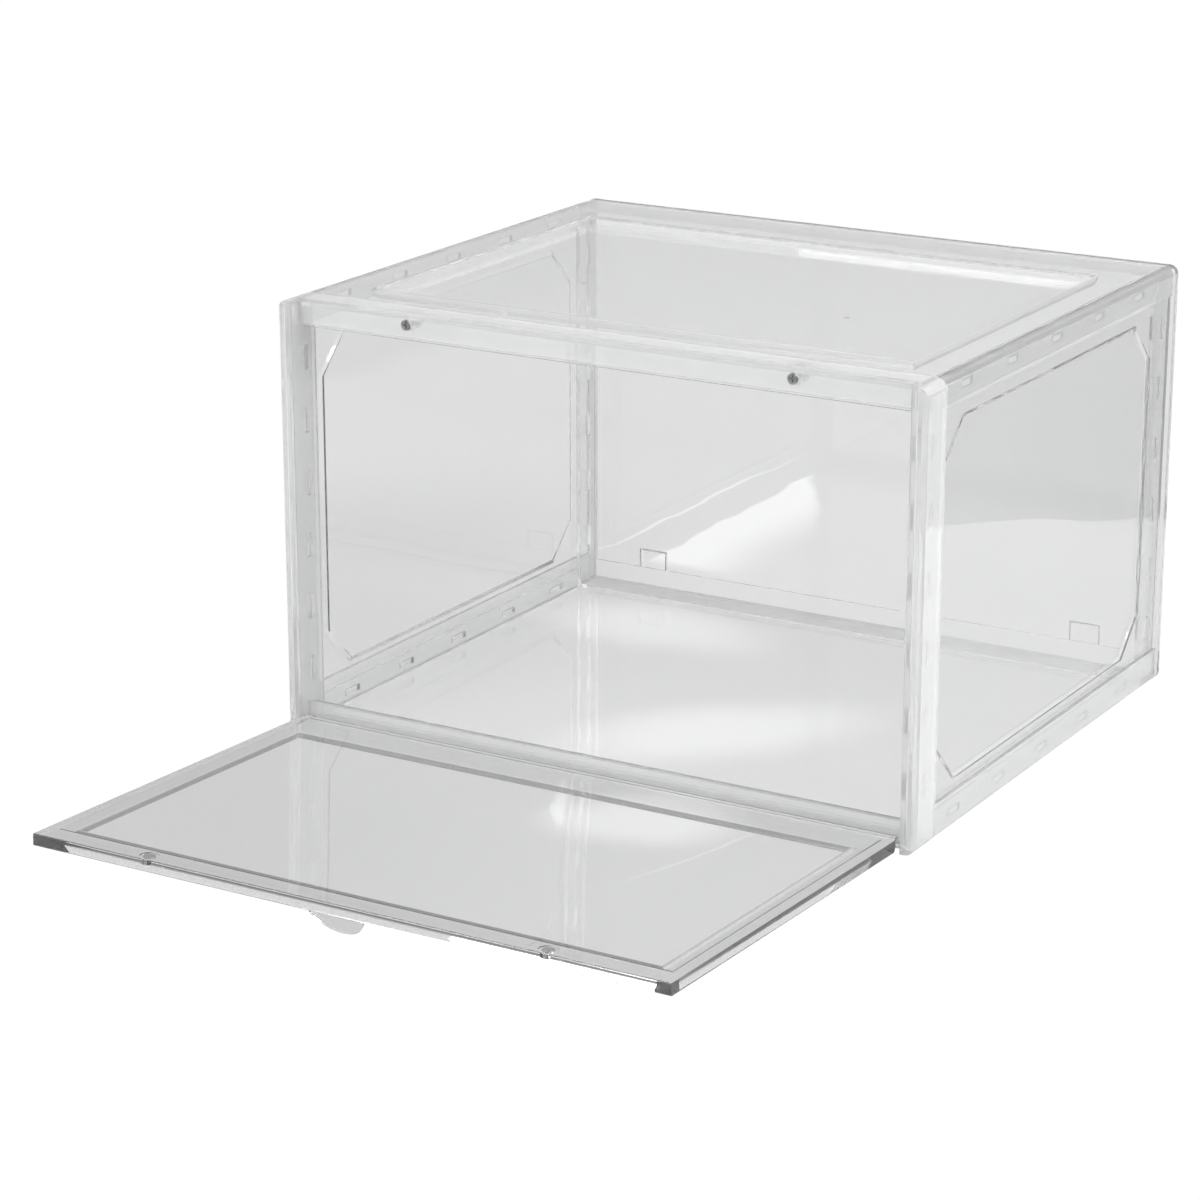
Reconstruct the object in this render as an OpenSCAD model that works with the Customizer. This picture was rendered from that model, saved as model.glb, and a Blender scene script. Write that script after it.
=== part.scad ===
// Drop-front shoe box: a snap-together case of clear moulded panels with a
// magnetic door that hinges at the bottom of the front frame.
// Millimetres, +Z up, front towards -Y, origin at the centre of the base.

/* [Case] */
// Width of the case, left to right
box_w = 360; // [300:1:420]
// Depth of the case, front to back
box_d = 304; // [250:1:360]
// Height of the case
box_h = 228; // [190:1:280]
// Radius of the four corners seen from the front
corner_r = 6; // [4:0.5:6.5]
// Radius of the upright edges seen from above
edge_r = 2; // [1:0.5:2.5]

/* [Walls] */
// Thickness of a moulded panel
wall = 2.2; // [1.8:0.1:2.4]
// Outer wall of a front post
post_wall = 3; // [2.6:0.1:3.4]
// Inner wall of a front post, which carries the hinge pin
pin_wall = 2.6; // [2.2:0.1:3]
// Clearance between parts that snap together
snap_gap = 0.2; // [0.1:0.05:0.3]

/* [Front frame] */
// Depth of the front posts
post_d = 21; // [18:1:26]
// Height of the top rail
top_rail = 13; // [11:1:16]
// Height of the bottom rail
low_rail = 14; // [12:1:18]
// How far the rails sit behind the front of the posts
rail_step = 6.8; // [6.6:0.1:8]
// Thickness of the top rail's face
rail_wall = 3.2; // [2.8:0.1:3.6]

/* [Skirts] */
// Height of the top panel's side skirt
top_skirt = 15; // [13:1:20]
// Height of the bottom panel's side skirt
low_skirt = 19; // [15:1:24]
// How far the skirts sit inside the posts' outer faces
skirt_step = 0.8; // [0.4:0.1:1]

/* [Back panel] */
// Depth of the back panel's outer edge
back_edge = 6; // [5:0.5:8]
// Depth of the back panel's inner flange
back_flange = 22; // [16:1:28]

/* [Panel fields] */
// Depth of the pressed fields in the side panels
field_depth = 1.6; // [1:0.1:2]
// Width of the sloping edge round a field
field_slope = 2; // [1:0.1:3]
// Corner chamfer of a side field
field_cut = 21; // [12:1:30]
// Depth of the stacking recess in the top
recess_depth = 4.5; // [3:0.5:6]

/* [Door] */
// Thickness of the door's rim
door_t = 6; // [5:0.5:6]
// Thickness of the door's clear field
door_field_t = 2.2; // [1.8:0.1:3]
// Height of the hinge pins above the base
pivot_z = 5; // [4.5:0.1:6]
// Diameter of the hinge pins
pin_d = 4; // [3:0.5:4]
// Radial clearance of the hinge pins
pin_play = 0.06; // [0.03:0.01:0.1]
// Radius of the finger lip
lip_r = 15; // [12:1:18]
// How far the finger lip stands off the door's free edge
lip_reach = 11.3; // [10:0.1:12]
// Angle between the finger lip and the door
lip_angle = 58.5; // [52:0.5:62]

/* [Catches] */
// Distance of the catches from the middle of the front
catch_x = 107.5; // [80:0.5:120]
// Depth of the catch screws below the top
catch_drop = 6.5; // [6:0.5:7]
// Diameter of the catch magnets
magnet_d = 6; // [5:0.5:6]

/* [Hidden] */
$fn = 48;
clear_plastic = [0.90, 0.91, 0.92, 0.45];
frosted_plastic = [0.94, 0.95, 0.96, 0.6];
smoke_plastic = [0.70, 0.71, 0.72, 0.5];
nickel = [0.78, 0.78, 0.80];
steel = [0.45, 0.45, 0.47];

half_w = box_w / 2;
half_d = box_d / 2;
over = 1; // how far a cutting solid runs past the face that it cuts

// The slot that holds a side panel's edge, and the walls on each side of it
slot_out = half_w - post_wall;
slot_in = slot_out - wall - 2 * snap_gap;
doorway = slot_in - pin_wall;
post_back = -half_d + post_d;
back_front = half_d - back_edge;
flange_front = half_d - back_flange;
rail_face = -half_d + rail_step;
panel_face = slot_out - snap_gap;
lip_wall_h = 12;

// Snap tabs: one row along each edge of a side panel
tab_long = 12;
tab_wide = 3;
tab_high = 1.2;
tab_fit = 0.3;
tab_rows = 6;
tab_step = (box_h - 30) / tab_rows;
tab_cols = 5;
tab_stride = (box_d - 44) / tab_cols;
tab_inset = 12;
tab_level = 8;

// Side field: an octagon centred on the panel
field_half_y = half_d - 28;
field_half_z = box_h / 2 - 24;
field_wrap = 0.9; // extra width of a field's raised side, which keeps its wall even

// Latch tongues in the back wall, each freed by a thin cut round three sides
latch_x = 134.5;
latch_w = 16.5;
latch_h = 10;
latch_slit = 0.5;
back_rib_t = 1.2; // how far the rib along the foot of the back wall stands out
back_rib_top = 14.4;

// Stacking recess in the top panel
recess_half_x = half_w - 28;
recess_half_y = half_d - 44;
recess_slope = 1.5;
gate_d = 2.6;
gate_h = 0.3;

// Door, measured from the hinge axis towards its free edge
pivot_y = -half_d + 3.5;
door_half = doorway - 0.5;
door_len = box_h - pivot_z - 1;
door_edge_r = 0.8;
door_corner = [4, 11];
door_half_t = door_t / 2;
door_field_half = door_half - 14;
door_field_low = 26;
door_field_high = door_len - 17;
door_field_slope = 2.2;
groove_w = 0.7; // decorative groove in the inner face of the rim
groove_deep = 0.5;
groove_side = 6;
groove_end = 12;
lip_t = 1.8;
lip_rest = 0.1; // height of the lip's edge above the surface under the case
lip_u = door_len - lip_reach * cos(lip_angle);
lip_w = door_half_t + lip_reach * sin(lip_angle);
door_tilt = atan(lip_w / lip_u) - asin((pivot_z - lip_rest) / norm([lip_u, lip_w]));
pin_reach = doorway + pin_wall - 0.5;

// Catches: a magnet in the door meets a steel screw in the top rail
catch_z = box_h - catch_drop;
magnet_h = 3;
magnet_sink = 0.2;
magnet_fit = 0.02;
pocket_ring_d = 9.6;
pocket_ring_h = 0.5;
screw_head_d = 5.4;
screw_head_h = 1.5;
screw_shank_d = 2.8;
screw_shank_h = 9;
screw_slot = [3.4, 0.8, 0.9];
counterbore_d = 5.8;
counterbore_h = 1.7;
boss_d = 7;
boss_len = 9;

// Solid between two opposite corners
module block(low, high) {
    translate(low) cube(high - low);
}

// Draws its children on the right and mirrored on the left
module both_sides() {
    children();
    mirror([1, 0, 0]) children();
}

// Rectangle with round corners, centred
module round_rect(w, h, r) {
    square([w - 2 * r, h], center = true);
    square([w, h - 2 * r], center = true);
    for (x = [-1, 1], y = [-1, 1])
        translate([x * (w / 2 - r), y * (h / 2 - r)]) circle(r);
}

// Outer shape between two depths: round corners seen from the front
module front_outline(y0, y1, w, r) {
    translate([0, y1, box_h / 2]) rotate([90, 0, 0])
        linear_extrude(height = y1 - y0) round_rect(w, box_h, r);
}

// Full-height column whose four upright edges are round
module plan_outline(y_mid, depth) {
    translate([0, y_mid, 0]) linear_extrude(height = box_h) round_rect(box_w, depth, edge_r);
}

// Bar along Y with a trapezium section: half as wide as "half" at z = 0, narrower below
module taper_bar(half, slope, depth, long, lift) {
    rotate([90, 0, 0]) linear_extrude(height = long, center = true)
        polygon([[-half, lift], [half, lift], [half, 0], [half - slope, -depth],
                 [slope - half, -depth], [-half, 0]]);
}

// Tray-shaped solid with a rectangular mouth at z = 0
module taper_rect(a, b, slope, depth, lift) {
    intersection() {
        taper_bar(a, slope, depth, 4 * b, lift);
        rotate([0, 0, 90]) taper_bar(b, slope, depth, 4 * a, lift);
    }
}

// Tray-shaped solid with a mouth of eight sides at z = 0
module taper_octagon(a, b, cut, slope, depth, lift) {
    diagonal = (a + b - cut) / sqrt(2);
    intersection() {
        taper_rect(a, b, slope, depth, lift);
        rotate([0, 0, 45]) taper_bar(diagonal, slope, depth, 4 * a, lift);
        rotate([0, 0, -45]) taper_bar(diagonal, slope, depth, 4 * a, lift);
    }
}

// Places a child, drawn with its mouth up, in the right-hand panel's outer face
module on_right_face() {
    translate([panel_face, 0, box_h / 2]) rotate([0, 90, 0]) children();
}

// Heights of the tabs along an upright edge, and depths of the tabs along a level edge
function tab_z(i) = box_h / 2 + (i - (tab_rows - 1) / 2) * tab_step;
function tab_y(i) = (i - (tab_cols - 1) / 2) * tab_stride;

// Centres of the right-hand panel's tabs, with their length along Z or along Y
module at_upright_tabs(y) {
    for (i = [0 : tab_rows - 1]) translate([slot_in, y, tab_z(i)]) children();
}

module at_level_tabs(z) {
    for (i = [0 : tab_cols - 1]) translate([slot_in, tab_y(i), z]) rotate([90, 0, 0]) children();
}

// Wedge that stands on the inner face of the right-hand panel and points inwards
module tab() {
    base = snap_gap;
    linear_extrude(height = tab_long, center = true)
        polygon([[base, -tab_wide / 2], [base, tab_wide / 2],
                 [-tab_high, tab_wide / 2], [-tab_high / 2, -tab_wide / 2]]);
}

// Window that a tab snaps into
module window() {
    high = tab_long + 2 * tab_fit;
    wide = tab_wide + 2 * tab_fit;
    deep = pin_wall + 2 * over;
    translate([-deep / 2, 0, 0]) cube([2 * deep, wide, high], center = true);
}

// Cylinder along Y, from y0 to y1, at a catch position on the right
module catch_bar(d, y0, y1) {
    translate([catch_x, y0, catch_z]) rotate([-90, 0, 0]) cylinder(d = d, h = y1 - y0);
}

// Posts and rails in one ring, open at the back for the panels' edges
module front_frame() {
    inside = rail_face + rail_wall;
    color(frosted_plastic) difference() {
        intersection() {
            front_outline(-half_d, post_back, box_w, corner_r);
            plan_outline(-half_d + post_d, 2 * post_d);
        }
        block([-doorway, -half_d - over, low_rail], [doorway, post_back + over, box_h - top_rail]);
        block([-doorway, -half_d - over, -over], [doorway, rail_face, box_h + over]);
        block([-doorway, inside, box_h - top_rail - over], [doorway, post_back + over, box_h - wall]);
        block([-doorway, rail_face + wall, wall], [doorway, post_back + over, low_rail + over]);
        both_sides() {
            block([slot_in, -half_d + wall, wall], [slot_out, post_back + over, box_h - wall]);
            at_upright_tabs(-half_d + tab_inset) window();
            translate([doorway - over, pivot_y, pivot_z]) rotate([0, 90, 0])
                cylinder(d = pin_d + 2 * pin_play, h = pin_wall + 2 * over);
            catch_bar(counterbore_d, rail_face - over, rail_face + counterbore_h);
            catch_bar(screw_shank_d + 2 * snap_gap, rail_face, inside + over);
        }
    }
}

// Flat panel with an eight-sided field pressed inwards and tabs along all its edges
module side_panel() {
    edge = half_d - wall - snap_gap;
    difference() {
        union() {
            block([panel_face - wall, -edge, wall + snap_gap],
                  [panel_face, edge, box_h - wall - snap_gap]);
            on_right_face() translate([0, 0, -wall])
                taper_octagon(field_half_z + field_wrap, field_half_y + field_wrap, field_cut,
                              field_slope, field_depth, wall / 2);
            at_upright_tabs(-half_d + tab_inset) tab();
            at_upright_tabs(half_d - tab_inset) tab();
            at_level_tabs(tab_level) tab();
            at_level_tabs(box_h - tab_level) tab();
        }
        on_right_face()
            taper_octagon(field_half_z, field_half_y, field_cut, field_slope, field_depth, over);
    }
}

module right_side_panel() {
    color(clear_plastic) side_panel();
}

module left_side_panel() {
    color(clear_plastic) mirror([1, 0, 0]) side_panel();
}

// Skirts and inner lips that hold the side panels' level edges, drawn for the right-hand side
module edge_walls(skirt_z, lip_z) {
    block([slot_out, post_back + snap_gap, skirt_z[0]],
          [half_w - skirt_step, back_front - snap_gap, skirt_z[1]]);
    difference() {
        block([slot_in - wall, post_back + snap_gap, lip_z[0]],
              [slot_in, flange_front - snap_gap, lip_z[1]]);
        at_level_tabs(tab_level) window();
        at_level_tabs(box_h - tab_level) window();
    }
}

// Outer shape of the top and bottom panels between the posts and the back panel
module lid_outline() {
    front_outline(post_back + snap_gap, back_front - snap_gap, box_w - 2 * skirt_step,
                  corner_r - skirt_step);
}

// Roof with a stacking recess; its front flange takes the catch screws
module top_panel() {
    reach = doorway - 2 * snap_gap;
    front = rail_face + rail_wall + snap_gap;
    riser = post_back + snap_gap;
    under = box_h - wall - snap_gap;
    color(clear_plastic) difference() {
        union() {
            intersection() {
                lid_outline();
                union() {
                    block([-half_w, riser, box_h - wall], [half_w, back_front, box_h]);
                    both_sides()
                        edge_walls([box_h - top_skirt, box_h],
                                   [box_h - wall - lip_wall_h, box_h - wall]);
                }
            }
            translate([0, 0, box_h - wall])
                taper_rect(recess_half_x + field_wrap, recess_half_y + field_wrap, recess_slope,
                           recess_depth, wall / 2);
            block([-reach, front, under - wall], [reach, riser + wall, under]);
            block([-reach, riser, under - wall], [reach, riser + wall, box_h - wall / 2]);
            block([-reach, front, box_h - top_skirt], [reach, front + wall, under]);
            both_sides() catch_bar(boss_d, front, front + boss_len);
        }
        translate([0, 0, box_h])
            taper_rect(recess_half_x, recess_half_y, recess_slope, recess_depth, over);
        both_sides() catch_bar(screw_shank_d, front - over, front + boss_len + over);
    }
    color(clear_plastic) both_sides()
        translate([recess_half_x / 2, -recess_half_y / 4, box_h - recess_depth - gate_h])
            cylinder(d = gate_d, h = 2 * gate_h);
}

// Floor; its front flange lies on the bottom rail
module bottom_panel() {
    reach = doorway - 2 * snap_gap;
    front = rail_face + wall + snap_gap;
    riser = post_back + snap_gap;
    over_rail = wall + snap_gap;
    color(clear_plastic) {
        intersection() {
            lid_outline();
            union() {
                block([-half_w, riser, 0], [half_w, back_front, wall]);
                both_sides() edge_walls([0, low_skirt], [wall, wall + lip_wall_h]);
            }
        }
        block([-reach, front, over_rail], [reach, riser + wall, over_rail + wall]);
        block([-reach, riser, 0], [reach, riser + wall, over_rail + wall]);
        block([-reach, front, over_rail], [reach, front + wall, low_rail - snap_gap]);
    }
}

// Outer edge, inner flange and flat wall of the back panel, with a rib along its foot
module back_shell() {
    inner = half_d - wall;
    ring_low = wall + snap_gap;
    ring_high = box_h - wall - snap_gap;
    difference() {
        union() {
            difference() {
                intersection() {
                    front_outline(back_front, half_d, box_w, corner_r);
                    plan_outline(half_d - back_edge, 2 * back_edge);
                }
                block([-slot_out, back_front - over, wall], [slot_out, inner, box_h - wall]);
            }
            block([-slot_in, flange_front, ring_low], [slot_in, inner + wall / 2, ring_high]);
        }
        block([-doorway, flange_front - over, ring_low + wall],
              [doorway, inner - back_rib_t, ring_high - wall]);
        block([-doorway, inner - 2 * back_rib_t, back_rib_top],
              [doorway, inner, ring_high - wall]);
    }
}

// Thin cut round the sides and top of the right-hand latch tongue in the back wall
module latch_cut() {
    out = latch_w / 2 + latch_slit;
    top = back_rib_top + latch_h;
    translate([latch_x, half_d - wall / 2, 0]) {
        for (side = [-1, 1])
            translate([side * (out - latch_slit / 2), 0, back_rib_top + latch_h / 2])
                cube([latch_slit, 2 * wall, latch_h], center = true);
        translate([0, 0, top + latch_slit / 2]) cube([2 * out, 2 * wall, latch_slit], center = true);
    }
}

// Back wall; its flange has windows for the side panels' tabs
module back_panel() {
    color(clear_plastic) difference() {
        back_shell();
        both_sides() {
            at_upright_tabs(half_d - tab_inset) window();
            latch_cut();
        }
    }
}

// Turns what is drawn for the closed door, with its hinge axis on X, to the open rest pose
module door_open() {
    translate([0, pivot_y, pivot_z]) rotate([90 - door_tilt, 0, 0]) children();
}

// Part of a disc that stands off the door's free edge, drawn in its own plane
module lip() {
    intersection() {
        translate([0, lip_t, lip_r - lip_reach]) rotate([90, 0, 0]) cylinder(r = lip_r, h = lip_t);
        block([-lip_r, 0, -lip_r], [lip_r, lip_t, 0]);
    }
}

// Outline of the closed door seen from the front, with its hinge-end corners cut
module door_front() {
    cut = door_corner;
    translate([0, door_half_t, 0]) rotate([90, 0, 0]) linear_extrude(height = door_t)
        polygon([[-door_half + cut[0], -door_half_t], [door_half - cut[0], -door_half_t],
                 [door_half, cut[1] - door_half_t], [door_half, door_len],
                 [-door_half, door_len], [-door_half, cut[1] - door_half_t]]);
}

// Section of the closed door: round at the hinge, eased at the free edge
module door_section() {
    r = door_edge_r;
    rotate([90, 0, 90]) linear_extrude(height = 2 * door_half, center = true) {
        circle(door_half_t);
        translate([-door_half_t, 0]) square([door_t, door_len - r]);
        translate([r - door_half_t, 0]) square([door_t - 2 * r, door_len]);
        for (side = [-1, 1]) translate([side * (door_half_t - r), door_len - r]) circle(r);
    }
}

// Groove in the inner face of the rim, along both sides and the free edge
module rim_groove() {
    side_x = door_half - groove_side;
    end_u = door_len - groove_end;
    for (side = [-1, 1])
        translate([side * side_x, door_half_t, (door_corner[1] + end_u) / 2])
            cube([groove_w, 2 * groove_deep, end_u - door_corner[1] + groove_w], center = true);
    translate([0, door_half_t, end_u])
        cube([2 * side_x + groove_w, 2 * groove_deep, groove_w], center = true);
}

// Clear door with a thin field, hinge pins, magnet pockets and a finger lip
module door_panel() {
    mid = (door_field_low + door_field_high) / 2;
    half_high = (door_field_high - door_field_low) / 2;
    deep = door_t - door_field_t;
    magnet_u = catch_z - pivot_z;
    color(smoke_plastic) door_open() difference() {
        union() {
            intersection() {
                door_front();
                door_section();
            }
            translate([0, -door_half_t, door_len]) rotate([-lip_angle, 0, 0]) lip();
            both_sides() translate([door_half - 2 * door_corner[0], 0, 0]) rotate([0, 90, 0])
                cylinder(d = pin_d, h = pin_reach - door_half + 2 * door_corner[0]);
        }
        translate([0, -door_half_t, mid]) rotate([90, 0, 0])
            taper_rect(door_field_half + door_field_slope, half_high + door_field_slope,
                       door_field_slope, deep, over);
        rim_groove();
        both_sides() translate([catch_x, door_half_t + over, magnet_u]) rotate([90, 0, 0]) {
            cylinder(d = magnet_d + 2 * magnet_fit, h = over + magnet_sink + magnet_h);
            cylinder(d = pocket_ring_d, h = over + pocket_ring_h);
        }
    }
}

// Disc magnet pressed into the right-hand pocket of the door
module door_magnet() {
    color(nickel) door_open()
        translate([catch_x, door_half_t - magnet_sink, catch_z - pivot_z]) rotate([90, 0, 0])
            cylinder(d = magnet_d, h = magnet_h);
}

module door_magnet_right() {
    door_magnet();
}

module door_magnet_left() {
    mirror([1, 0, 0]) door_magnet();
}

// Steel screw with a cross recess, head towards the front, just below the rail's face
module catch_screw() {
    seat = rail_face + counterbore_h;
    head_front = seat - screw_head_h;
    difference() {
        union() {
            translate([catch_x, seat, catch_z]) rotate([90, 0, 0])
                cylinder(d1 = screw_head_d, d2 = screw_head_d - 1, h = screw_head_h);
            catch_bar(screw_shank_d, seat, seat + screw_shank_h);
        }
        for (turn = [0, 90])
            translate([catch_x, head_front, catch_z]) rotate([90, turn, 0])
                cube([screw_slot[0], screw_slot[1], 2 * screw_slot[2]], center = true);
    }
}

module catch_screws() {
    color(steel) both_sides() catch_screw();
}

front_frame();
left_side_panel();
right_side_panel();
top_panel();
bottom_panel();
back_panel();
door_panel();
door_magnet_left();
door_magnet_right();
catch_screws();
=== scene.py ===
"""Looks of the drop-front shoe box: clear moulded plastic, a smoky door, magnets and screws."""
import math

import bpy
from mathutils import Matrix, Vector

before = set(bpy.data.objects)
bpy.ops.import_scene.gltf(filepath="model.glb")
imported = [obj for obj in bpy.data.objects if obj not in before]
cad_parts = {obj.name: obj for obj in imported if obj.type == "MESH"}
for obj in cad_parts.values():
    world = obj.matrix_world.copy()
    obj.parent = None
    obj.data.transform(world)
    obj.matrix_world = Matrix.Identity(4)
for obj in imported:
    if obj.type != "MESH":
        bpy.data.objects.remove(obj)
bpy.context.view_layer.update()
MM = 0.001

# Camera, measured as an orbit round a point inside the case
CAM_AZIMUTH = 30.53
CAM_ELEVATION = 17.51
CAM_DISTANCE = 1.926
CAM_TARGET = Vector((-0.0819, 0.0, 0.0441))
CAM_LENS = 107.4
SENSOR = 36.0

# Small edge rounding of the moulded parts
EDGE_ROUND = 0.25 * MM
EDGE_ANGLE = math.radians(32)
FLAT_ANGLE = math.radians(0.5)
WELD_DISTANCE = 0.002 * MM

# Plastic and its marks: noise scales per metre, mark depths in metres
PLASTIC_IOR = 1.49
SMOKE_DENSITY = 10.0  # absorption inside the smoky door, per metre
WARP_SCALE = 7.0
FLOW_SCALE = 60.0
DUST_SCALE = 700.0
DUST_RANGE = (0.35, 0.75)
FLOW_MARKS = 0.000003
CLOUD_SCALE = 9.0
CLOUD_TINT = 0.985
SCRATCH_SCALE = 4000.0

# Floor and what the camera sees as white paper and sky
FLOOR_HALF = 30.0
FLOOR_DROP = 0.4 * MM
PLAIN_WHITE = 1.02

# Places of the tints, in metres: posts, stacking recess, and the door's field from its hinge
POST_INSIDE = 0.1718
RAIL_TINT = 0.93
RECESS_HALF = (0.152, 0.108)
RECESS_TINT = 0.965
TRAY_HALF = (0.1705, 0.2)
TRAY_TINT = 0.965
HINGE = (0.0, -0.1485, 0.005)
DOOR_TILT = 2.049
FIELD_HALF = 0.1584
FIELD_LOW = 0.0249
FIELD_HIGH = 0.2061
# Painted shade: a dark line drawn into the door's colour round its field, standing in for the dark
# refraction at the field's edge
SHADE_LINE_HALF = 0.7 * MM
SHADE_LINE_SOFT = 0.4 * MM
SHADE_LINE_TOP = (2.4 * MM, 2.6 * MM)  # the painted shade line stays below this height in the rim
PAINTED_SHADE_LINE_COLOUR = (0.10, 0.10, 0.105)
HINGE_SHADE_LINE = 0.12  # strength of the painted shade line along the hinge
HINGE_SHADE_FADE = 4 * MM
RIM_TINT = 0.90
TINT_SOFT = 1 * MM  # width over which one tint turns into another

# Light on the paper. Each spot: centre, half sizes, angle, softness, strength
PAPER_LEVEL = 0.80
WAVE = 0.03
WAVE_SCALE = 9.0
FAR_DARK = 0.45
PAPER_SPOTS = (
    ((-0.33, 0.00), (0.17, 0.26), 0, 0.5, -0.10),
    ((-0.14, -0.33), (0.16, 0.14), 0, 0.7, -0.08),
    ((-0.100, 0.090), (0.060, 0.030), -5, 0.6, 0.24),
    ((0.015, -0.050), (0.075, 0.036), 48, 0.6, 0.24),
    ((0.045, -0.178), (0.040, 0.028), 20, 0.5, 0.27),
    ((0.002, -0.178), (0.026, 0.0035), -56, 0.4, 0.25),
    ((0.090, -0.202), (0.046, 0.0011), 77, 0.6, 0.14),
    ((-0.203, 0.322), (0.118, 0.0016), 88, 0.6, 0.20),
)
# Wedge of light behind the case. Each side: level direction, start, end
WEDGE_LEFT = ((1, 0), -0.170, -0.167)
WEDGE_RIGHT = ((1, 0), -0.150, -0.095)
WEDGE_NEAR = ((0, 1), 0.195, 0.215)
WEDGE_FAR = ((0.889, 0.458), 0.043, 0.050)
WEDGE_LIGHT = 0.24
# Dark far corner of the table, which the right-hand wall mirrors
CORNER_FAR = ((0.607, 0.795), 0.532, 0.536)
CORNER_RIGHT = ((1, 0), 0.20, 0.27)

# Studio round the case: white, with a grey backdrop centred low behind it
BACKDROP_AZIMUTH = -149.5
BACKDROP_ELEVATION = 17.0
BACKDROP_INNER = 22.0
BACKDROP_OUTER = 40.0
STUDIO_WHITE = 1.15
STUDIO_GREY = 0.55
LAMP_TARGET = Vector((0, 0, 0.1))


def direction(azimuth, elevation):
    """Unit vector from the target towards a camera or light at these angles in degrees."""
    a, e = math.radians(azimuth), math.radians(elevation)
    return Vector((math.sin(a) * math.cos(e), -math.cos(a) * math.cos(e), math.sin(e)))


def aim(obj, place, target):
    obj.location = place
    obj.rotation_euler = (target - place).to_track_quat("-Z", "Y").to_euler()


def add_camera():
    data = bpy.data.cameras.new("camera")
    data.lens = CAM_LENS
    data.sensor_width = SENSOR
    data.clip_end = 100
    cam = bpy.data.objects.new("camera", data)
    bpy.context.collection.objects.link(cam)
    aim(cam, CAM_TARGET + direction(CAM_AZIMUTH, CAM_ELEVATION) * CAM_DISTANCE, CAM_TARGET)
    bpy.context.scene.camera = cam


# ---------------------------------------------------------------- node helpers
class Nodes:
    """Short way to add and link nodes in one tree."""

    def __init__(self, tree):
        self.tree = tree
        tree.nodes.clear()

    def add(self, kind, inputs=None, **settings):
        node = self.tree.nodes.new(kind)
        for name, value in settings.items():
            setattr(node, name, value)
        for name, value in (inputs or {}).items():
            socket = node.inputs[name]
            if isinstance(value, bpy.types.NodeSocket):
                self.tree.links.new(value, socket)
            else:
                socket.default_value = value
        return node


def material(name):
    mat = bpy.data.materials.new(name)
    mat.use_nodes = True
    return mat, Nodes(mat.node_tree)


def object_coordinates(n):
    return n.add("ShaderNodeTexCoord").outputs["Object"]


def noise(n, vector, scale, detail=2.0, roughness=0.5):
    return n.add("ShaderNodeTexNoise", {"Vector": vector, "Scale": scale, "Detail": detail,
                                        "Roughness": roughness}).outputs["Fac"]


def ramp_range(n, value, low, high, to_low, to_high):
    return n.add("ShaderNodeMapRange", {"Value": value, "From Min": low, "From Max": high,
                                        "To Min": to_low, "To Max": to_high}).outputs["Result"]


def plastic(name, colour, transmission, rough, warp, haze, shade, grain=(1, 1, 1), density=0):
    """Clear moulded plastic: slow warp of the surface, fine flow marks, uneven gloss.

    "warp" is the depth of the slow warp, "haze" the extra roughness of the dusty spots, "shade"
    makes the colour's socket, "grain" stretches the flow marks, and "density" is the absorption
    inside the plastic per metre.
    """
    mat, n = material(name)
    place = object_coordinates(n)
    drawn = n.add("ShaderNodeMapping", {"Vector": place, "Scale": grain}).outputs["Vector"]
    slow = noise(n, place, WARP_SCALE, 1.0)
    flow = noise(n, drawn, FLOW_SCALE, 3.0)
    dust = noise(n, drawn, DUST_SCALE)
    warp_bump = n.add("ShaderNodeBump", {"Strength": 1.0, "Distance": warp, "Height": slow})
    bump = n.add("ShaderNodeBump", {"Strength": 0.5, "Distance": FLOW_MARKS, "Height": flow,
                                    "Normal": warp_bump.outputs["Normal"]})
    gloss = ramp_range(n, dust, *DUST_RANGE, rough, rough + haze)
    shader = n.add("ShaderNodeBsdfPrincipled", {
        "Base Color": shade(n, place, colour), "Roughness": gloss, "IOR": PLASTIC_IOR,
        "Transmission Weight": transmission, "Normal": bump.outputs["Normal"]})
    surface = {"Surface": shader.outputs["BSDF"]}
    if density:
        inside = n.add("ShaderNodeVolumeAbsorption", {"Color": (0.0, 0.0, 0.0, 1),
                                                      "Density": density})
        surface["Volume"] = inside.outputs["Volume"]
    n.add("ShaderNodeOutputMaterial", surface)
    return mat


def blend(n, factor, low, high):
    """Colour socket between two colours, each a tuple or a socket."""
    mix = n.add("ShaderNodeMix", {"Factor": factor}, data_type="RGBA")
    for socket, value in ((mix.inputs[6], low), (mix.inputs[7], high)):
        if isinstance(value, bpy.types.NodeSocket):
            n.tree.links.new(value, socket)
        else:
            socket.default_value = (*value, 1)
    return mix.outputs[2]


def tinted(colour, tint):
    return tuple(tint * c for c in colour)


def calc(n, operation, a, b=0.0):
    return n.add("ShaderNodeMath", {0: a, 1: b}, operation=operation).outputs["Value"]


def flow_tint(n, place, colour):
    """Colour that varies a little with the plastic's flow lines."""
    cloud = noise(n, place, CLOUD_SCALE, 3.0)
    return blend(n, cloud, tinted(colour, CLOUD_TINT), colour)


def frame_tint(n, place, colour):
    """Milky posts, clearer rails between them."""
    across = n.add("ShaderNodeSeparateXYZ", {"Vector": place}).outputs["X"]
    post = ramp_range(n, calc(n, "ABSOLUTE", across), POST_INSIDE, POST_INSIDE + TINT_SOFT,
                      0.0, 1.0)
    return blend(n, post, tinted(colour, RAIL_TINT), flow_tint(n, place, colour))


def outside(n, x, y, half):
    """How far a point is outside a rectangle round the origin, below 0 inside it."""
    return calc(n, "MAXIMUM", calc(n, "SUBTRACT", calc(n, "ABSOLUTE", x), half[0]),
                calc(n, "SUBTRACT", calc(n, "ABSOLUTE", y), half[1]))


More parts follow.
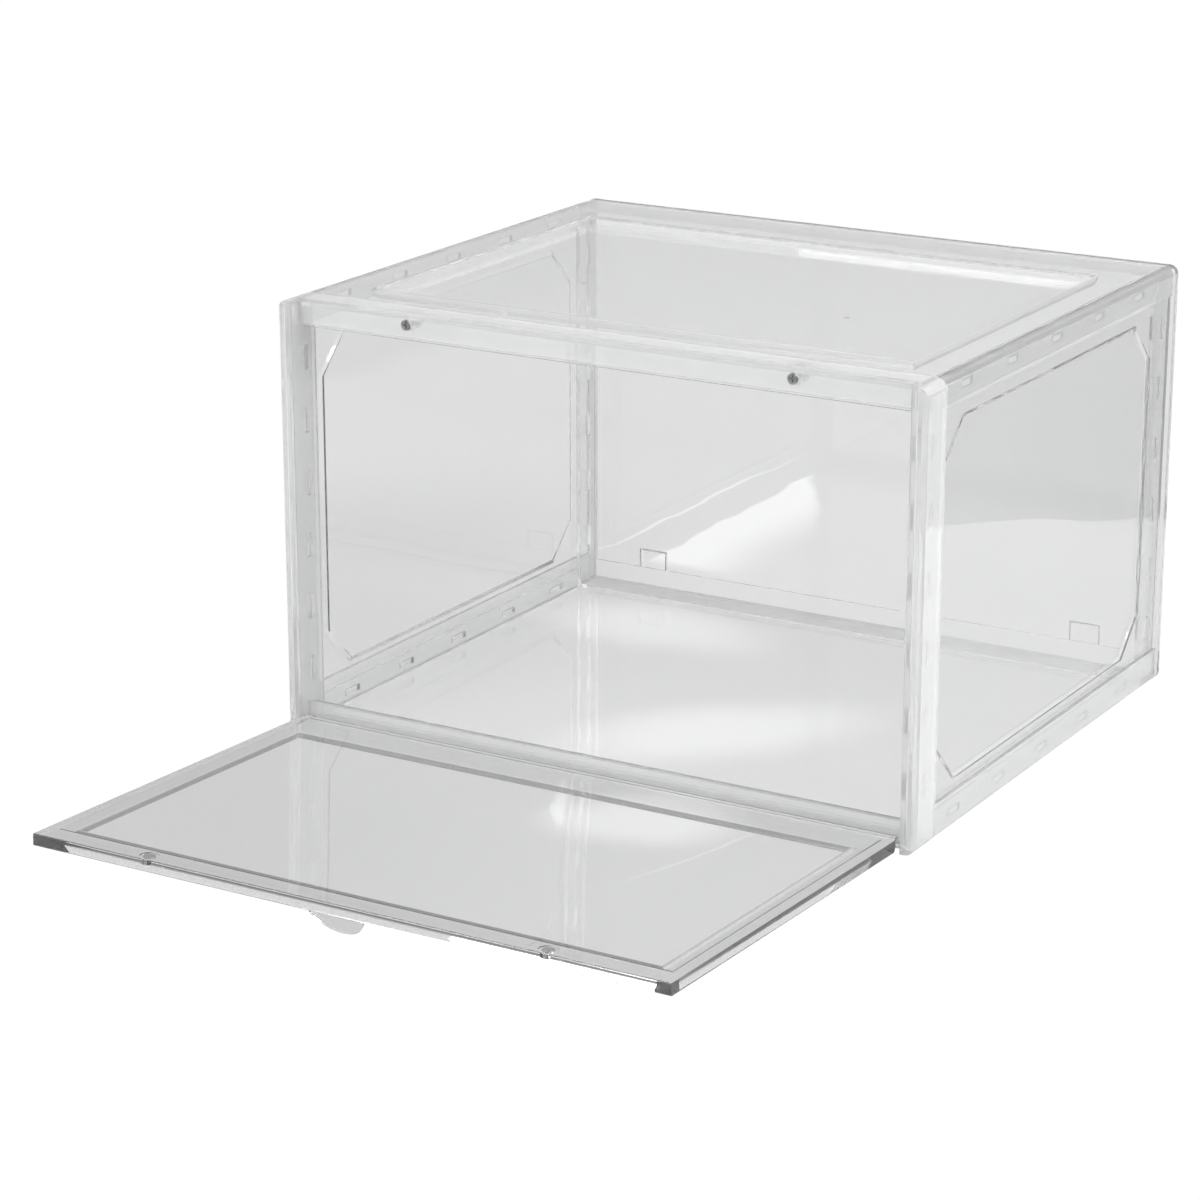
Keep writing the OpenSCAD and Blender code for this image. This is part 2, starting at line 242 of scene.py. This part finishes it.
def zone_tint(half, tint):
    """Colour rule: clearer inside a level rectangle of these half sizes, milky round it."""

    def shade(n, place, colour):
        spot = n.add("ShaderNodeSeparateXYZ", {"Vector": place}).outputs
        out = outside(n, spot["X"], spot["Y"], half)
        rim = ramp_range(n, out, -TINT_SOFT, TINT_SOFT, 0.0, 1.0)
        return blend(n, rim, flow_tint(n, place, tinted(colour, tint)), colour)

    return shade


def door_tint_and_shade_line(n, place, colour):
    """Smoky plastic: darker in the thick rim, with a painted shade line where the rim meets the
    field.
    """
    at = n.add("ShaderNodeVectorMath", {0: place, 1: HINGE}, operation="SUBTRACT").outputs["Vector"]
    tilt = math.radians(DOOR_TILT)
    ways = ((0, -math.cos(tilt), math.sin(tilt)), (0, math.sin(tilt), math.cos(tilt)))
    along, through = (n.add("ShaderNodeVectorMath", {0: at, 1: way},
                            operation="DOT_PRODUCT").outputs["Value"] for way in ways)
    across = n.add("ShaderNodeSeparateXYZ", {"Vector": at}).outputs["X"]
    middle, half = (FIELD_HIGH + FIELD_LOW) / 2, (FIELD_HIGH - FIELD_LOW) / 2
    out = outside(n, across, calc(n, "SUBTRACT", along, middle), (FIELD_HALF, half))
    rim = ramp_range(n, out, -TINT_SOFT / 2, TINT_SOFT / 2, 0.0, 1.0)
    # Painted shade: a dark line along the field's edge, kept low in the rim and weaker along the
    # hinge
    painted_shade_line = ramp_range(n, calc(n, "ABSOLUTE", out), SHADE_LINE_HALF, SHADE_LINE_HALF + SHADE_LINE_SOFT, 1.0, 0.0)
    below = ramp_range(n, through, *SHADE_LINE_TOP, 1.0, 0.0)
    free = ramp_range(n, along, FIELD_LOW, FIELD_LOW + HINGE_SHADE_FADE, HINGE_SHADE_LINE, 1.0)
    painted_shade_line = calc(n, "MULTIPLY", calc(n, "MULTIPLY", painted_shade_line, below), free)
    plain = blend(n, rim, flow_tint(n, place, colour), tinted(colour, RIM_TINT))
    return blend(n, painted_shade_line, plain, PAINTED_SHADE_LINE_COLOUR)


def metal(name, colour, rough, scratch):
    mat, n = material(name)
    place = object_coordinates(n)
    fine = noise(n, place, SCRATCH_SCALE, 4.0, 0.7)
    bump = n.add("ShaderNodeBump", {"Strength": 0.4, "Distance": scratch, "Height": fine})
    gloss = ramp_range(n, fine, 0.3, 0.7, rough * 0.7, rough * 1.4)
    shader = n.add("ShaderNodeBsdfPrincipled", {
        "Base Color": (*colour, 1), "Metallic": 1.0, "Roughness": gloss,
        "Normal": bump.outputs["Normal"]})
    n.add("ShaderNodeOutputMaterial", {"Surface": shader.outputs["BSDF"]})
    return mat


def round_edges(obj):
    """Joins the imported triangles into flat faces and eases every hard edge."""
    weld = obj.modifiers.new("weld", "WELD")
    weld.merge_threshold = WELD_DISTANCE
    flat = obj.modifiers.new("flat", "DECIMATE")
    flat.decimate_type = "DISSOLVE"
    flat.angle_limit = FLAT_ANGLE
    cut = obj.modifiers.new("triangles", "TRIANGULATE")
    cut.ngon_method = "CLIP"
    cut.min_vertices = 5
    bevel = obj.modifiers.new("edges", "BEVEL")
    bevel.width = EDGE_ROUND
    bevel.segments = 2
    bevel.limit_method = "ANGLE"
    bevel.angle_limit = EDGE_ANGLE
    shade = obj.modifiers.new("shade", "WEIGHTED_NORMAL")
    shade.weight = 100


def dress(node, mat):
    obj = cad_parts[node]
    obj.data.materials.clear()
    obj.data.materials.append(mat)
    round_edges(obj)


# ---------------------------------------------------------------- stage
class Light:
    """Adds soft or sharp patches of light and shade to a level on the paper, in metres."""

    def __init__(self, n, level):
        self.n = n
        place = n.add("ShaderNodeNewGeometry").outputs["Position"]
        wave = n.add("ShaderNodeTexNoise", {"Vector": place, "Scale": WAVE_SCALE, "Detail": 3.0})
        shift = n.add("ShaderNodeVectorMath", {0: wave.outputs["Color"], 1: (0.5, 0.5, 0.5)},
                      operation="SUBTRACT")
        sway = n.add("ShaderNodeVectorMath", {0: shift.outputs["Vector"], "Scale": WAVE},
                     operation="SCALE")
        moved = n.add("ShaderNodeVectorMath", {0: place, 1: sway.outputs["Vector"]},
                      operation="ADD")
        self.wavy = moved.outputs["Vector"]
        self.level = level

    def smooth(self, value, low, high, to_low=0.0, to_high=1.0):
        return self.n.add("ShaderNodeMapRange", {
            "Value": value, "From Min": low, "From Max": high, "To Min": to_low,
            "To Max": to_high}, interpolation_type="SMOOTHSTEP").outputs["Result"]

    def add(self, value):
        self.level = calc(self.n, "ADD", self.level, value)

    def spot(self, centre, half, angle, soft, strength):
        """An ellipse; soft is the width of its edge as a share of its size."""
        n = self.n
        at = n.add("ShaderNodeVectorMath", {0: self.wavy, 1: (*centre, 0)}, operation="SUBTRACT")
        turned = n.add("ShaderNodeVectorRotate", {"Vector": at.outputs["Vector"],
                                                  "Angle": -math.radians(angle)},
                       rotation_type="Z_AXIS")
        scaled = n.add("ShaderNodeVectorMath", {0: turned.outputs["Vector"],
                                                1: (half[0], half[1], 1)}, operation="DIVIDE")
        away = n.add("ShaderNodeVectorMath", {0: scaled.outputs["Vector"]}, operation="LENGTH")
        self.add(self.smooth(away.outputs["Value"], 1 - soft, 1 + soft, strength, 0.0))

    def side(self, normal, start, end):
        """0 before start and 1 past end, along a level direction."""
        dot = self.n.add("ShaderNodeVectorMath", {0: self.wavy, 1: (*normal, 0)},
                         operation="DOT_PRODUCT")
        return self.smooth(dot.outputs["Value"], start, end)


def paper_light(n):
    """Light on the paper: its level, the case's soft shade and the patches that its walls throw."""
    light = Light(n, PAPER_LEVEL)
    for spot in PAPER_SPOTS:
        light.spot(*spot)
    wedge = calc(n, "MULTIPLY", light.side(*WEDGE_LEFT),
                 calc(n, "SUBTRACT", 1.0, light.side(*WEDGE_RIGHT)))
    depth = calc(n, "MULTIPLY", light.side(*WEDGE_NEAR),
                 calc(n, "SUBTRACT", 1.0, light.side(*WEDGE_FAR)))
    light.add(calc(n, "MULTIPLY", calc(n, "MULTIPLY", wedge, depth), WEDGE_LIGHT))
    corner = calc(n, "MULTIPLY", light.side(*CORNER_FAR), light.side(*CORNER_RIGHT))
    light.add(calc(n, "MULTIPLY", corner, -FAR_DARK))
    return light.level


def plain_to_camera(n, kind, level):
    """Plain white for the camera's own rays, and this level for all other light."""
    path = n.add("ShaderNodeLightPath").outputs["Is Camera Ray"]
    seen = n.add(kind, {"Color": (1, 1, 1, 1), "Strength": PLAIN_WHITE})
    other = n.add(kind, {"Color": (1, 1, 1, 1), "Strength": level})
    mix = n.add("ShaderNodeMixShader", {"Fac": path})
    n.tree.links.new(other.outputs[0], mix.inputs[1])
    n.tree.links.new(seen.outputs[0], mix.inputs[2])
    return mix.outputs[0]


def add_floor():
    mesh = bpy.data.meshes.new("floor")
    s = FLOOR_HALF
    mesh.from_pydata([(-s, -s, 0), (s, -s, 0), (s, s, 0), (-s, s, 0)], [], [(0, 1, 2, 3)])
    floor = bpy.data.objects.new("floor", mesh)
    bpy.context.collection.objects.link(floor)
    floor.location.z = -FLOOR_DROP
    mat, n = material("floor_paper")
    surface = plain_to_camera(n, "ShaderNodeEmission", paper_light(n))
    n.add("ShaderNodeOutputMaterial", {"Surface": surface})
    mesh.materials.append(mat)


def add_world():
    """White studio with a grey backdrop low behind the case; the camera sees plain white."""
    world = bpy.data.worlds.new("studio")
    bpy.context.scene.world = world
    world.use_nodes = True
    n = Nodes(world.node_tree)
    sky = n.add("ShaderNodeTexCoord").outputs["Generated"]
    back = direction(BACKDROP_AZIMUTH, BACKDROP_ELEVATION)
    facing = n.add("ShaderNodeVectorMath", {0: sky, 1: tuple(back)}, operation="DOT_PRODUCT")
    level = ramp_range(n, facing.outputs["Value"], math.cos(math.radians(BACKDROP_OUTER)),
                       math.cos(math.radians(BACKDROP_INNER)), STUDIO_WHITE, STUDIO_GREY)
    surface = plain_to_camera(n, "ShaderNodeBackground", level)
    n.add("ShaderNodeOutputWorld", {"Surface": surface})


def add_softbox(name, azimuth, elevation, distance, size, power):
    data = bpy.data.lights.new(name, "AREA")
    data.shape = "RECTANGLE"
    data.size, data.size_y = size
    data.energy = power
    lamp = bpy.data.objects.new(name, data)
    bpy.context.collection.objects.link(lamp)
    aim(lamp, direction(azimuth, elevation) * distance, LAMP_TARGET)


add_camera()
add_world()
add_floor()
add_softbox("key", 94, 32, 1.6, (0.8, 0.8), 24)
add_softbox("fill", -20, 50, 1.8, (0.9, 0.9), 16)

side = plastic("clear_plastic", (0.945, 0.947, 0.95), 0.96, 0.0, 0.0004, 0.02, flow_tint)
back = plastic("clear_plastic_back", (0.975, 0.977, 0.98), 0.93, 0.0, 0.0002, 0.03, flow_tint)
lid = plastic("clear_plastic_lid", (0.99, 0.992, 0.995), 0.92, 0.0, 0.0002, 0.03,
              zone_tint(RECESS_HALF, RECESS_TINT))
tray = plastic("clear_plastic_tray", (0.99, 0.992, 0.995), 0.92, 0.0, 0.0003, 0.03,
               zone_tint(TRAY_HALF, TRAY_TINT))
frosted = plastic("frosted_plastic", (0.99, 0.992, 0.995), 0.78, 0.02, 0.0001, 0.05, frame_tint,
                  grain=(6, 6, 0.15))
smoke = plastic("smoke_plastic", (0.90, 0.903, 0.905), 0.97, 0.0, 0.0003, 0.02, door_tint_and_shade_line,
                density=SMOKE_DENSITY)
nickel = metal("nickel", (0.52, 0.52, 0.53), 0.12, 0.00002)
steel = metal("screw_steel", (0.30, 0.30, 0.31), 0.3, 0.00003)
LOOKS = {"left_side_panel": side, "right_side_panel": side, "top_panel": lid,
         "bottom_panel": tray, "back_panel": back, "front_frame": frosted, "door_panel": smoke,
         "door_magnet_left": nickel, "door_magnet_right": nickel, "catch_screws": steel}
for part, look in LOOKS.items():
    dress(part, look)

scene = bpy.context.scene
scene.view_settings.view_transform = "Standard"
scene.cycles.max_bounces = 128
scene.cycles.transmission_bounces = 128
scene.cycles.diffuse_bounces = 16
scene.cycles.glossy_bounces = 128
scene.cycles.transparent_max_bounces = 32
